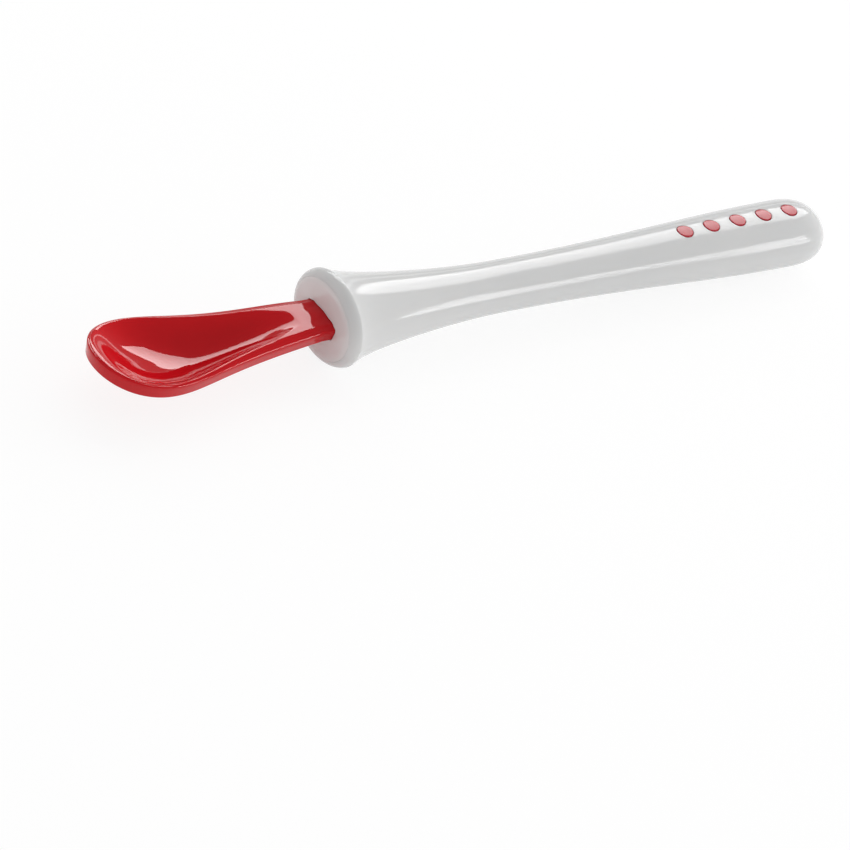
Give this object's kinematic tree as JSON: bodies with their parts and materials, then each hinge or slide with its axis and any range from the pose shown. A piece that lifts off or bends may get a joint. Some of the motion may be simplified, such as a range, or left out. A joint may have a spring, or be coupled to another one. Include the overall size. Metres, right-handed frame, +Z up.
{
  "type": "baby spoon",
  "caption": "Baby spoon: a shallow glossy scoop with a sloping lip on a flat stem, held in a hollow oval handle that flares to a collar and swells to a rounded tail.",
  "frame": {"origin": "on the table, below the middle of the spoon's length, as the spoon rests on its collar and its tail", "axes": "+X towards the tail, the spoon's long direction; +Z up, out of the open side of the bowl; Y across"},
  "size_m": [0.1478, 0.018, 0.015],
  "materials": {
    "red_scoop": "polished moulded plastic",
    "white_cap": "satin moulded plastic",
    "white_shell": "polished moulded plastic",
    "soft_seal": "matte silicone",
    "inner_socket": "plain moulded plastic",
    "red_dots": "satin moulded plastic"
  },
  "bodies": {
    "root": {"scoop": "red_scoop", "collar_cap": "white_cap", "handle_shell": "white_shell", "stem_seal": "soft_seal", "tang_socket": "inner_socket", "grip_dots": "red_dots"}
  },
  "joints": []
}
